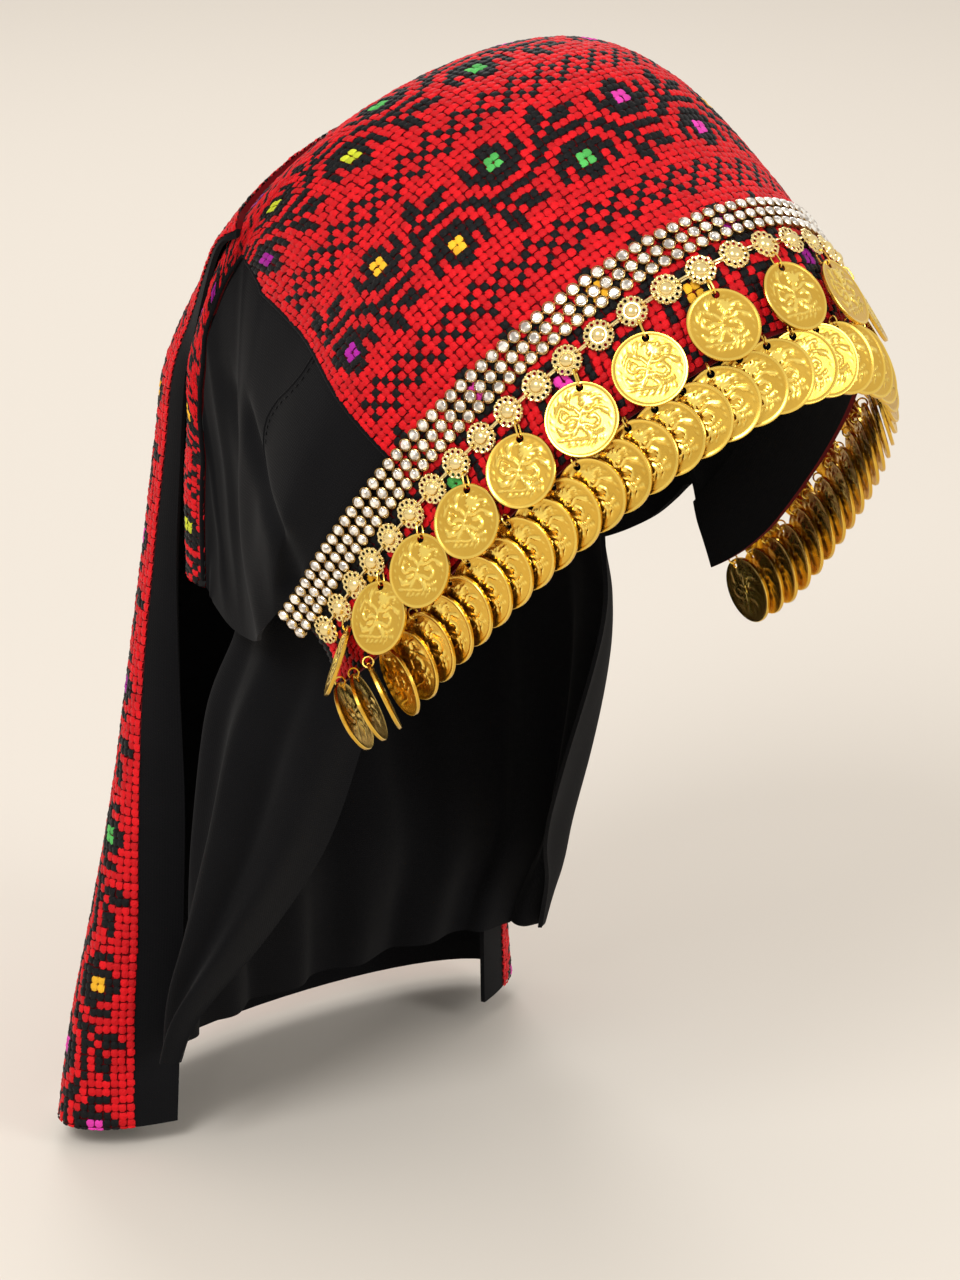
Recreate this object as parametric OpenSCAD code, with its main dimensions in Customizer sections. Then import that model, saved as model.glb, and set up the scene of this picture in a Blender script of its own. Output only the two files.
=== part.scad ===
// Folk coin headdress: an embroidered hood with a back flap and a veil,
// edged with a stone trim, a chain of rosettes and two rows of hung coins.
// +X is the wearer's left, +Y the back, +Z up. The origin is the middle of the
// head opening, level with the rosette line at the brow. Lengths in millimetres.

/* [Cloth] */
// Thickness of the embroidered cloth
cloth_t = 2; // [1.2:0.1:2.6]
// Thickness of the black cloth
black_t = 1.6; // [1:0.1:2]
// Half width of the embroidered crown panel, measured over the head
panel_half = 131; // [125:1:135]
// Half length of the brow band, measured round the head
band_half = 203; // [198:1:206]
// Gap between two pieces that are sewn together
seam_gap = 0.4; // [0.3:0.1:0.8]

/* [Stone trim] */
// Half length of the stone trim
trim_half = 206; // [200:1:208]
// Spacing of its three rows of stones
trim_row = 3.9; // [3.6:0.1:4.1]
// Height of the stones above the cloth
trim_h = 3; // [2.4:0.1:3.4]

/* [Rosettes] */
// Number of rosettes, an odd number
rosette_n = 35; // [31:2:35]
// Spacing of the rosettes along the band
rosette_pitch = 11.4; // [11.2:0.1:11.6]
// Diameter of a rosette
rosette_d = 9.3; // [8.6:0.1:9.4]
// Number of petals
petals = 12; // [12:4:16]
// Thickness of a rosette at its rim
rosette_t = 0.9; // [0.7:0.1:1.2]

/* [Coins] */
// Diameter of a coin
coin_d = 22; // [20:0.5:22]
// Thickness of a coin at its rim
coin_t = 1.1; // [1:0.1:1.2]
// Width of the raised rim
coin_rim = 0.9; // [0.6:0.1:1.2]
// Number of coins hung below the hem
hem_coin_n = 44; // [40:2:44]
// Spacing of the hem coins along the hem
hem_coin_pitch = 9.1; // [9:0.1:9.3]
// Diameter of the hole that a coin hangs by
coin_hole_d = 2.4; // [2.2:0.1:2.6]
// Wire diameter of the rings and links
link_wire = 0.6; // [0.5:0.1:0.6]

/* [Hidden] */
coin_names = [for (i = [1:17]) str("coin_", i < 10 ? "0" : "", i)];
$fn = 48;

red = "#c8141e";
black = "#17171a";
gold = "#d9a93a";
silver = "#cfc8bb";

// Columns of an arch row: the middle point's y and z, the tilt of the arch's
// plane from upright, the half width and the half drop of its ellipse.
Y = 0; Z = 1; TILT = 2; HALF = 3; DROP = 4;
// Arches of the hood from the hem over the head to the nape
hood_rows = [
    [-114, -21, 41, 82, 138],   // hem over the forehead
    [-100,   0, 39, 83, 136],   // rosette line
    [ -67,  20, 36, 92, 122],   // hairline
    [ -36,  42, 35, 77, 103],   // front of the crown
    [   0,  45, 38, 68,  70],   // top of the head
    [  34,  26,  27, 68.5, 48.3],   // back of the crown
    [  65,   2, 7.8, 68.5, 46.1],   // back of the head
    [90.5, -39, -21.6, 67.5, 28.6],
    [ 104, -85, -71.6, 67, 25.1],   // nape
    [ 106, -131, -80, 67, 25]];
q_rosette = 1;
q_seam = 1.31;   // the band meets the crown here, under the trim
q_end = 8.9;     // lowest row at the nape
// Row number, and the arch angle past which the crown's cloth is cut off
crown_cut = [[3.6, 95.8], [4, 102], [4.5, 102], [5, 102.5], [5.5, 102],
    [6, 97.5], [6.5, 100.5], [7, 102.5], [7.6, 97.5], [8.2, 98.5], [9, 97.8]];

// Columns of a tail row: as an arch row, then the arch angles at which the
// embroidery and the black border end.
RED = 5; BORDER = 6;
tail_rows = [
    [ 96,  -17, -18, 63, 41, 73, 85],
    [129,  -66, -88, 60.5, 36.5, 80, 91],
    [133,  -92, -90, 62, 35.5, 84, 96],
    [137, -130, -90, 65, 34, 87, 103],
    [140, -170, -90, 70, 33, 92, 113],
    [142, -210, -90, 76, 32, 101, 122],
    [145, -250, -90, 84, 32, 111, 128],
    [149, -290, -90, 92, 32, 118, 133],
    [151, -322, -90, 97, 32, 122, 135]];
// The tail's seam on the crown: row number at the middle, and how far the seam
// comes forward at the sides. Then, for its first two rows: how far back from
// the seam, how high above the crown, and the same two angles.
seam_q = 5.4;
seam_fwd = 0.6;
seam_rows = [[0, 2.6, 84, 88], [0.45, 3.8, 79, 84]];

// Columns of a veil row: height, half width, half depth, middle y, angle of
// the front edge from the back, and depth of the folds.
VZ = 0; VX = 1; VY = 2; VC = 3; VF = 4; VFOLD = 5;
veil_rows = [
    [-112, 60, 54.6, 47, 122, 0.3],
    [-132, 62, 54, 46, 126, 0.8],
    [-150, 66, 55, 47, 129, 1.6],
    [-175, 73, 55, 55, 132, 2.8],
    [-215, 78, 43, 64, 133, 3.2],
    [-250, 82, 30, 72, 124, 3.0],
    [-277, 85, 26, 78, 102, 2.8],
    [-292, 86, 25, 81,  94, 2.6]];

function unit(v) = v / norm(v);
function mix(a, b, f) = a + (b - a) * f;
// Shares 0 to 1 in n steps
function steps(n) = [for (i = [0:n]) i / n];
// A smooth curve through the rows of a table, at row number q
function row(tab, q) = let (
    n = len(tab), i = min(max(floor(q), 0), n - 2), f = q - i,
    a = i > 0 ? tab[i - 1] : 2 * tab[0] - tab[1], b = tab[i], c = tab[i + 1],
    d = i + 2 < n ? tab[i + 2] : 2 * tab[n - 1] - tab[n - 2])
    0.5 * (2 * b + (c - a) * f + (2 * a - 5 * b + 4 * c - d) * f * f
        + (3 * b - a - 3 * c + d) * f * f * f);
// Point of an arch row at angle a from its top, negative on the right
function arch(r, a) = let (d = r[DROP] * (1 - cos(a)))
    [r[HALF] * sin(a), r[Y] + d * sin(r[TILT]), r[Z] - d * cos(r[TILT])];
// Angle against length along an arch row, and the angle at length u
function arc_table(r) = [for (a = 0, s = 0; a <= 130;
    s = s + norm(arch(r, a + 2) - arch(r, a)), a = a + 2) [s, a]];
function angle_at(table, u) = sign(u) * lookup(abs(u), table);

// Outer surface of the hood at row q and arch angle a, and its normal
function ease(x) = let (t = min(max(x, 0), 1)) t * t * (3 - 2 * t);
function hood(q, a) = arch(row(hood_rows, q), a);
function hood_n(q, a) = unit(cross(hood(q, a + 1) - hood(q, a - 1),
    hood(q + 0.05, a) - hood(q - 0.05, a)));
// The same at length u along the row instead of an angle
function hood_u(q, u, lift = 0) = let (
    a = angle_at(arc_table(row(hood_rows, q)), u))
    hood(q, a) + lift * hood_n(q, a);

// A wall between two grids of points, outer and inner
module wall(outer, inner) {
    nr = len(outer);
    nc = len(outer[0]);
    m = nr * nc;
    function id(i, j) = i * nc + j;
    edge = concat([for (j = [0:nc - 1]) id(0, j)],
        [for (i = [1:nr - 1]) id(i, nc - 1)],
        [for (j = [nc - 2:-1:0]) id(nr - 1, j)],
        [for (i = [nr - 2:-1:1]) id(i, 0)]);
    ne = len(edge);
    polyhedron(points = concat([for (r = outer) each r], [for (r = inner) each r]),
        faces = concat(
            [for (i = [0:nr - 2], j = [0:nc - 2]) each [
                [id(i, j), id(i + 1, j + 1), id(i, j + 1)],
                [id(i, j), id(i + 1, j), id(i + 1, j + 1)]]],
            [for (i = [0:nr - 2], j = [0:nc - 2]) each [
                [m + id(i, j), m + id(i, j + 1), m + id(i + 1, j + 1)],
                [m + id(i, j), m + id(i + 1, j + 1), m + id(i + 1, j)]]],
            [for (k = [0:ne - 1]) let (a = edge[k], b = edge[(k + 1) % ne]) each [
                [a, b, m + b], [a, m + b, m + a]]]));
}

// Crown: a panel over the head and down to the nape, where it is narrower
function crown_edge(q) = let (r = row(hood_rows, q))
    min(angle_at(arc_table(r), panel_half), lookup(q, crown_cut));
// The cloth's normal, which near the edge is that of a place further in
function crown_n(q, a) = hood_n(q, sign(a) * min(abs(a), crown_edge(q) - 11));
// Row numbers of the crown and of the side panels that join it
crown_q = concat([q_seam + 0.012, 1.42], [for (f = steps(20))
    f < 0.45 ? mix(1.53, 4, f / 0.45) : mix(4, q_end, (f - 0.45) / 0.55)]);
function crown_grid(lift) = [for (q = crown_q) let (e = crown_edge(q))
    [for (j = steps(28)) let (a = e * (2 * j - 1)) hood(q, a) + lift * crown_n(q, a)]];
module crown() {
    color(red) wall(crown_grid(0), crown_grid(-cloth_t));
}

// Brow band: from the hem up to the crown's front edge, its lower corners
// rounded off behind the ears
hem_rise = 9;
hem_round = 40;
function hem_s(u) = -25 + hem_rise * pow(max(0, (abs(u) - band_half + hem_round) / hem_round), 2);
function band_grid(lift) = [for (i = steps(4)) [for (j = steps(44)) let (
    u = band_half * (2 * j - 1))
    hood_u(mix(1 + hem_s(u) / 25, q_seam, i), u, lift)]];
module brow_band() {
    color(red) wall(band_grid(0), band_grid(-cloth_t));
}

// Side panel, the right one: from the crown's edge down to the hem, with a soft
// pouch behind the band's end, one deep fold, and a hollow towards the nape
side_n = 20;
side_m = 9;
side_far = band_half - 1;
crown_side = [for (q = crown_q) hood(q, -crown_edge(q))];
side_top = [for (i = [2:side_n + 2]) crown_side[i]
    + (seam_gap + 0.1 + 0.9 * ease((crown_q[i] - 4.2) / 0.8))
    * unit(cross(crown_n(crown_q[i], -crown_edge(crown_q[i])),
        crown_side[min(i + 1, side_n + 2)] - crown_side[i - 1]))];
function side_front(q, g) = hood_u(q, -mix(panel_half + seam_gap, side_far, g));
side_a = side_top[0];
side_b = side_front(crown_q[2], 1);
side_c = side_top[side_n] + [1, -2, -5];
side_sag = 13;
pouch = 7;
hollow = 4;
fold_at = 0.5;
fold_run = 0.3;
fold_w = 0.12;
fold_d = 4;
function hump(x) = exp(-x * x);
function side_pt(i, j) = let (
    f = i / side_n, g = j / side_m,
    top = side_top[i],
    hem = mix(side_b, side_c, f) - [0, 0, side_sag * sin(180 * f)],
    bow = (side_front(crown_q[2], g) - mix(side_a, side_b, g))
        * norm(hem - top) / norm(side_b - side_a) * (1 - 0.8 * ease((f - 0.3) / 0.6)),
    e = (f - fold_at + fold_run * g) / fold_w,
    out = ease(f / 0.12) * sin(150 * g) * (pouch * hump((f - 0.2) / 0.2)
        - hollow * hump((f + 0.15 * g - 0.72) / 0.2) + fold_d * e * hump(e) * sin(90 * g)))
    mix(top, hem, g) + bow - [out, 0, 0];
// Its first two rows lie on the hood, under the stone trim
side_pts = concat(
    [for (q = [crown_q[0], crown_q[1]]) [for (g = steps(side_m)) side_front(q, g)]],
    [for (i = [0:side_n]) [for (j = [0:side_m]) side_pt(i, j)]]);
// Grid points moved along the surface's normal, by lift for each row
function moved(g, lift) = let (m = len(g) - 1, n = len(g[0]) - 1)
    [for (i = [0:m]) [for (j = [0:n]) g[i][j] + lift * unit(cross(
        g[i][min(j + 1, n)] - g[i][max(j - 1, 0)],
        g[min(i + 1, m)][j] - g[max(i - 1, 0)][j]))]];
// The inner side; along the crown's long side it has the crown's own normal
side_in = let (g = moved(side_pts, black_t)) [for (i = [0:len(g) - 1])
    let (q = crown_q[i]) [for (j = [0:side_m]) j > 0 ? g[i][j] : mix(
        side_pts[i][0] - black_t * crown_n(q, -crown_edge(q)), g[i][0],
        ease((q - 3.9) / 0.5))]];
module side_right() {
    color(black) wall(side_in, side_pts);
}
module side_left() {
    mirror([1, 0, 0]) side_right();
}

// Tail: a flap sewn on the crown that widens as it hangs down the back, with
// a black border along each side that turns forward. Its first two rows lie
// on the crown.
function tail_key(k, a, lift) = k < 2
    ? let (q = seam_q + seam_rows[k][0] - seam_fwd * ease((abs(a) - 60) / 32))
        hood(q, a) + (seam_rows[k][1] + lift) * hood_n(q, a)
    : let (r = tail_rows[k - 2], w = r[HALF] * cos(a))
        arch(r, a) + lift * unit([r[DROP] * sin(a), -w * sin(r[TILT]), w * cos(r[TILT])]);
function tail_edge(k, col) = k < 2 ? seam_rows[k][col - 3] : tail_rows[k - 2][col];
function tail_reach(k) = k < 2 ? 60 : tail_rows[k - 2][DROP];
tail_keys = len(tail_rows) + 2;
// Angles across a row: border, embroidery, border, with a gap at each seam
tail_n = 18;
function tail_angles(k) = let (r = tail_edge(k, RED), e = tail_edge(k, BORDER),
    g = 57.3 * (seam_gap + 0.1) / tail_reach(k))
    concat([for (f = steps(3)) -mix(e, r + g, f)],
        [for (f = steps(tail_n)) r * (2 * f - 1)], [for (f = steps(3)) mix(r + g, e, f)]);
// Columns c0 to c1 of the tail's surface, moved outward by lift
function tail_grid(c0, c1, lift) = let (keys = [for (k = [0:tail_keys - 1]) let (
    a = tail_angles(k)) [for (j = [c0:c1]) tail_key(k, a[j], lift)]])
    [for (i = steps(22)) row(keys, i * (tail_keys - 1))];
module tail_strip(c0, c1, t) {
    wall(tail_grid(c0, c1, 0), tail_grid(c0, c1, -t));
}
module tail() {
    color(red) tail_strip(4, 4 + tail_n, cloth_t);
}
module tail_border_right() {
    color(black) tail_strip(0, 3, black_t);
}
module tail_border_left() {
    color(black) tail_strip(5 + tail_n, 8 + tail_n, black_t);
}

// Veil: black cloth round the back of the neck, in soft folds
veil_n = 52;
veil_folds = 9;
function veil_pt(r, a, lift) = let (
    f = lift + r[VFOLD] * cos(veil_folds * a * 90 / r[VF] * 2) - r[VFOLD])
    [(r[VX] + f) * sin(a), r[VC] + (r[VY] + f) * cos(a), r[VZ]];
function veil_grid(lift) = [for (i = steps(12)) let (
    r = row(veil_rows, i * (len(veil_rows) - 1)))
    [for (j = steps(veil_n)) veil_pt(r, r[VF] * (2 * j - 1), lift)]];
module veil() {
    color(black) wall(veil_grid(0), veil_grid(-black_t));
}

// Row number at distance s from the rosette line, for places on the band
function q_at(s) = 1 + s / (s < 0 ? 25 : 36);
// Frame on the hood: point, direction along the band, outward, down the band
function spot(s, u) = let (q = q_at(s), a = angle_at(arc_table(row(hood_rows, q)), u),
    t = unit(hood(q, a + 1) - hood(q, a - 1)), n = hood_n(q, a))
    [hood(q, a), t, n, cross(t, n)];
// Put a shape with its x, y and z on three unit vectors, at point p
module place(p, x, y, z) {
    multmatrix([[x[0], y[0], z[0], p[0]], [x[1], y[1], z[1], p[1]],
        [x[2], y[2], z[2], p[2]], [0, 0, 0, 1]]) children();
}

// Stone trim: three rows of stones side by side, whose ends hang straight down
trim_turn = 190;
trim_s = 12;
function trim_pt(q, t, u, lift) = let (v = min(abs(u), trim_turn),
    a = sign(u) * lookup(v, t))
    hood(q, a) + lift * hood_n(q, a) + (abs(u) - v) * [0, 0.64, -0.77];
function trim_grid(top) = [for (i = steps(9)) let (
    s = trim_s + trim_row * 1.5 * (2 * i - 1) * 0.97, q = q_at(s),
    t = arc_table(row(hood_rows, q)),
    lobe = 0.4 + (trim_h - 0.4) * pow(abs(sin(540 * i)), 0.7))
    [for (j = steps(50)) trim_pt(q, t, trim_half * (2 * j - 1), top ? 0.35 + lobe : 0.35)]];
module stone_trim() {
    color(silver) wall(trim_grid(true), trim_grid(false));
}

// An oval link of round wire in the xz plane, len between its two wire ends
module link(length, r) {
    e = length / 2 - r;
    for (m = [0, 1]) rotate([0, 180 * m, 0]) translate([e, 0, 0]) {
        rotate([90, 0, 0]) rotate([0, 0, -90]) rotate_extrude(angle = 180)
            translate([r, 0]) circle(d = link_wire);
    }
    for (z = [-r, r]) translate([-e, 0, z]) rotate([0, 90, 0])
        cylinder(h = 2 * e, d = link_wire);
    // a drop of solder where each bend meets a straight side
    for (x = [-e, e], z = [-r, r]) translate([x, 0, z]) sphere(d = link_wire + 0.1);
}
// The same between two points, its plane holding the direction n
module link_between(p, q, n, r) {
    x = unit(q - p);
    y = unit(cross(n, x));
    place((p + q) / 2, x, y, cross(x, y)) link(norm(q - p), min(r, norm(q - p) / 2 - 0.1));
}

// Rosettes: petals round a domed middle, joined by wire links
rosette_lift = 2.1;
rosette_eye = 3.5;
function rosette_u(i) = (i - (rosette_n + 1) / 2) * rosette_pitch;
function rosette_spot(i) = spot(0, rosette_u(i));
module rosette(hangs) {
    pr = 1.2;
    difference() {
        union() {
            cylinder(h = rosette_t, r = rosette_d / 2 - pr);
            for (i = [1:petals]) rotate([0, 0, i * 360 / petals])
                translate([rosette_d / 2 - pr, 0, 0]) cylinder(h = rosette_t, r = pr);
            translate([0, 0, rosette_t]) {
                rotate_extrude() translate([1.9, 0]) circle(r = 0.45);
                scale([1, 1, 0.8]) sphere(r = 1.2);
            }
        }
        for (a = hangs ? [0, 180, 270] : [0, 180]) rotate([0, 0, a])
            translate([rosette_eye, 0, -1]) cylinder(h = 4, d = 1.6);
    }
}
module rosette_at(i) {
    f = rosette_spot(i);
    place(f[0] + (rosette_lift - rosette_t / 2) * f[2], f[1], -f[3], f[2])
        rosette(i % 2 == 0);
}
module rosette_link(i) {
    a = rosette_spot(i);
    b = rosette_spot(i + 1);
    link_between(a[0] + rosette_lift * a[2] + rosette_eye * a[1],
        b[0] + rosette_lift * b[2] - rosette_eye * b[1], a[2] + b[2], 1.1);
}
rosette_mid = (rosette_n + 1) / 2;
module rosettes_right() {
    color(gold) for (i = [1:rosette_mid]) {
        rosette_at(i);
        if (i < rosette_mid) rosette_link(i);
    }
}
module rosettes_left() {
    color(gold) for (i = [rosette_mid + 1:rosette_n]) {
        rosette_at(i);
        rosette_link(i - 1);
    }
}

// A coin with a raised rim on both faces, its hole towards +y
coin_eye = 9.2;
hang = 0.3;   // the wire rests this far above the middle of the hole
module coin() {
    difference() {
        rotate_extrude() difference() {
            translate([0, -coin_t / 2]) square([coin_d / 2, coin_t]);
            for (m = [-1, 1]) translate([-1, m * coin_t / 2 - 0.15])
                square([coin_d / 2 - coin_rim + 1, 0.3]);
        }
        translate([0, coin_eye, -2]) cylinder(h = 4, d = coin_hole_d);
    }
}
// Frame of a coin that hangs from p: its down direction is between the cloth's
// slope and the plumb line, leans outward, and is turned about it
function coin_frame(f, p, plumb, lean, turn) = let (
    d = unit(f[3] * (1 - plumb) + [0, 0, -plumb] + lean * f[2]),
    n0 = unit(f[2] - (f[2] * d) * d), x0 = cross(n0, -d) * -1,
    n = n0 * cos(turn) - cross(-d, n0) * sin(turn))
    [p + (coin_eye + hang) * d, cross(-d, n), -d, n, d];

// Coins hung from every second rosette
function near_front(u) = exp(-pow((u - 5) / 60, 2));
function upper_frame(k) = let (u = rosette_u(2 * k), e = near_front(u),
    f = spot(-8.2 + 1.2 * e, u))
    coin_frame(f, f[0] + (k == 1 ? 3.6 : 3) * f[2], 0.75, k == 1 ? 0.65 : 0.34 + 0.14 * e,
        k == 1 ? 34 : 0);
module hung_coin(k) {
    c = upper_frame(k);
    r = rosette_spot(2 * k);
    color(gold) {
        place(c[0], c[1], c[2], c[3]) coin();
        link_between(r[0] + rosette_lift * r[2] + rosette_eye * r[3],
            c[0] - (coin_eye + hang) * c[4], r[2] + c[3], 1.4);
    }
}

// Coins hung from the hem, each lying over the one on its left. The turn of a
// coin about its hanging line, by its place along the hem:
turn_at = [[-200, 52], [-184, 48], [-174, 38], [-165, 15], [-120, 11.2], [-60, 11.4],
    [-20, 14.6], [20, 17.4], [60, 14.6], [150, 12.4], [172, 16], [200, 17]];
hem_ring_r = 1.6;
module hem_coin(i) {
    u = (i - (hem_coin_n + 1) / 2) * hem_coin_pitch;
    f = spot(hem_s(u) - 2.3, u);
    c = coin_frame(f, f[0] + 2.6 * f[2], 0.28, 0, lookup(u, turn_at));
    place(c[0], c[1], c[2], c[3]) coin();
    place(c[0] - (coin_eye + hang + hem_ring_r) * c[4], c[4], c[3], cross(c[4], c[3]))
        rotate_extrude() translate([hem_ring_r, 0]) circle(d = link_wire);
}
module hem_coins_right() {
    color(gold) for (i = [1:hem_coin_n / 2]) hem_coin(i);
}
module hem_coins_left() {
    color(gold) for (i = [hem_coin_n / 2 + 1:hem_coin_n]) hem_coin(i);
}

crown();
side_right();
side_left();
brow_band();
tail();
tail_border_right();
tail_border_left();
veil();
stone_trim();
rosettes_right();
rosettes_left();
hem_coins_right();
hem_coins_left();
for (k = [1:17]) hung_coin(k);
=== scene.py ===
import numpy as np
import bpy
from mathutils import Matrix


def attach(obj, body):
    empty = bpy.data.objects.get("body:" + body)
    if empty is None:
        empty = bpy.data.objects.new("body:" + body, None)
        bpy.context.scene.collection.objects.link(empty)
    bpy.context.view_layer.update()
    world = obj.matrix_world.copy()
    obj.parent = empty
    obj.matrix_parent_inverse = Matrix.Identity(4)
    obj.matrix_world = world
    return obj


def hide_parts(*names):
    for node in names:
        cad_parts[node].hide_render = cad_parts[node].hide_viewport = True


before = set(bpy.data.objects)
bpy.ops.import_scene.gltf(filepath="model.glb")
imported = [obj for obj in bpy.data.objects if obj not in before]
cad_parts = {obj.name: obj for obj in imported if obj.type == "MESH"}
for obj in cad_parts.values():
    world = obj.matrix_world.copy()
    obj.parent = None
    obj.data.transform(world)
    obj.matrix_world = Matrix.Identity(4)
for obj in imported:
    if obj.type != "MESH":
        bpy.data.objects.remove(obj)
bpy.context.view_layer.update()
print("frame loaded")

# Lengths are in millimetres here and go to metres when a mesh is made.
# +X is the wearer's left, +Y the back, +Z up; the origin is inside the head opening.


def unit(v):
    # each vector over its own length
    return v / np.maximum(np.linalg.norm(v, axis=-1, keepdims=True), 1e-9)


def ease(x):
    # smooth step from 0 to 1
    t = np.clip(x, 0, 1)
    return t * t * (3 - 2 * t)


def curveRow(table, q):
    # Catmull-Rom curve through the rows of a table, at row numbers q
    q = np.asarray(q, float)
    i = np.clip(np.floor(q).astype(int), 0, len(table) - 2)
    f = (q - i).reshape(q.shape + (1,) * (table.ndim - 1))
    rows = np.concatenate([[2 * table[0] - table[1]], table, [2 * table[-1] - table[-2]]])
    a, b, c, d = rows[i], rows[i + 1], rows[i + 2], rows[i + 3]
    square, cube = 2 * a - 5 * b + 4 * c - d, 3 * b - a - 3 * c + d
    return 0.5 * (2 * b + (c - a) * f + square * f ** 2 + cube * f ** 3)


def sampled(grid, i, j):
    # bilinear value of a grid of points at fractional row i and column j
    i0 = np.clip(np.floor(i).astype(int), 0, grid.shape[0] - 2)
    j0 = np.clip(np.floor(j).astype(int), 0, grid.shape[1] - 2)
    fi, fj = i - i0, j - j0
    if grid.ndim == 3:
        fi, fj = fi[..., None], fj[..., None]
    top = grid[i0, j0] * (1 - fj) + grid[i0, j0 + 1] * fj
    low = grid[i0 + 1, j0] * (1 - fj) + grid[i0 + 1, j0 + 1] * fj
    return top * (1 - fi) + low * fi


def gridNormals(p):
    # column direction crossed with row direction
    return unit(np.cross(np.gradient(p, axis=1), np.gradient(p, axis=0)))


def shape(verts, faces, mat=0):
    # a mesh: points, faces in arrays by their number of corners, and materials by face
    faces = [np.asarray(f) for f in (faces if isinstance(faces, list) else [faces])]
    return {"verts": np.asarray(verts, float).reshape(-1, 3), "faces": faces,
            "mats": [np.full(len(f), mat) for f in faces]}


def merged(shapes):
    # shapes as one, each one's face numbers raised by the points before it
    starts = np.cumsum([0] + [len(s["verts"]) for s in shapes[:-1]])
    return {"verts": np.vstack([s["verts"] for s in shapes]),
            "faces": [f + k for s, k in zip(shapes, starts) for f in s["faces"]],
            "mats": [m for s in shapes for m in s["mats"]]}


def repeated(s, origins, axes):
    # a copy of s for each origin, its x, y and z along the three rows of axes
    verts = origins[:, None] + np.einsum("vi,kij->kvj", s["verts"], axes)
    step = np.arange(len(origins)) * len(s["verts"])
    return {"verts": verts.reshape(-1, 3),
            "faces": [(f[None] + step[:, None, None]).reshape(-1, f.shape[1]) for f in s["faces"]],
            "mats": [np.tile(m, len(origins)) for m in s["mats"]]}


def moved(s, offset=(0, 0, 0), scale=(1, 1, 1)):
    # each point times the scale, plus the offset
    return {**s, "verts": s["verts"] * scale + offset}


def placedAt(s, at, x, y, z):
    # one copy of s at a point, its axes along x, y and z
    return repeated(s, at[None], np.stack([x, y, z])[None])


def gridFaces(rows, cols, wrap=False):
    # quads of a rows by cols grid; wrap joins the last column to the first
    i, j = np.meshgrid(np.arange(rows - 1), np.arange(cols if wrap else cols - 1), indexing="ij")
    k = (j + 1) % cols
    return np.stack([i * cols + j, i * cols + k, (i + 1) * cols + k, (i + 1) * cols + j], -1).reshape(-1, 4)


def clothWall(outer, inner, mats):
    # closed wall between two grids of points; mats are for outside, inside and rim
    rows, cols = outer.shape[:2]
    ids = np.arange(rows * cols).reshape(rows, cols)
    edge = np.concatenate([ids[0, :-1], ids[:-1, -1], ids[-1, :0:-1], ids[:0:-1, 0]])
    after, m = np.roll(edge, -1), rows * cols
    face = gridFaces(rows, cols)
    s = shape(np.concatenate([outer.reshape(-1, 3), inner.reshape(-1, 3)]),
              [face, face[:, ::-1] + m, np.stack([edge, edge + m, after + m, after], -1)])
    s["mats"] = [np.full(len(f), k) for f, k in zip(s["faces"], mats)]
    return s


def lathe(profile, sides):
    # profile of (radius, height) turned about z; a zero radius closes to one point
    turn = np.linspace(0, 2 * np.pi, sides + 1)[:-1]
    verts, rings, faces = [], [], []
    for r, z in profile:
        ring = np.stack([r * np.cos(turn), r * np.sin(turn), np.full(sides, z)], -1)
        rings.append((sum(len(v) for v in verts), r > 0))
        verts.append(ring if r > 0 else np.array([[0, 0, z]]))
    n = np.arange(sides)
    for (a, openA), (b, openB) in zip(rings, rings[1:]):
        if openA and openB:
            faces.append(np.stack([a + n, a + (n + 1) % sides, b + (n + 1) % sides, b + n], -1))
        elif openA:
            faces.append(np.stack([a + n, a + (n + 1) % sides, np.full(sides, b)], -1))
        else:
            faces.append(np.stack([np.full(sides, a), b + (n + 1) % sides, b + n], -1))
    return shape(np.vstack(verts), faces)


def tube(path, radius, sides, closed=False, mat=0, guide=None):
    # round bar: a circle of points about each point of a path, across its direction; the
    # circles' first axis is the direction crossed with the guide
    path = np.asarray(path, float)
    way = unit(np.roll(path, -1, 0) - np.roll(path, 1, 0)) if closed else unit(np.gradient(path, axis=0))
    guide = np.array([0.31, 0.22, 0.92]) if guide is None else np.asarray(guide, float)
    x = unit(np.cross(way, guide))
    y = np.cross(way, x)
    turn = np.linspace(0, 2 * np.pi, sides + 1)[:-1]
    verts = path[:, None] + radius * (x[:, None] * np.cos(turn)[:, None] + y[:, None] * np.sin(turn)[:, None])
    n = len(path)
    faces = gridFaces(n, sides, wrap=True)
    k = np.arange(sides)
    last, after = (n - 1) * sides, (k + 1) % sides
    if closed:
        faces = np.vstack([faces, np.stack([last + k, last + after, after, k], -1)])
        return shape(verts, faces, mat)
    ends = np.stack([path[0], path[-1]])
    caps = np.vstack([np.stack([np.full(sides, n * sides), after, k], -1),
                      np.stack([np.full(sides, n * sides + 1), last + k, last + after], -1)])
    return shape(np.vstack([verts.reshape(-1, 3), ends]), [faces, caps], mat)


def ringShape(radius, wire, n, sides):
    # bar bent to a circle: radius times cosine and sine of the turn
    t = np.linspace(0, 2 * np.pi, n + 1)[:-1]
    path = np.stack([radius * np.cos(t), radius * np.sin(t), 0 * t], -1)
    return tube(path, wire, sides, closed=True, guide=(0, 0, 1))


def newObject(name, data):
    # an object in the scene for a mesh, a lamp or the camera
    made = bpy.data.objects.new(name, data)
    bpy.context.scene.collection.objects.link(made)
    return made


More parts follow.
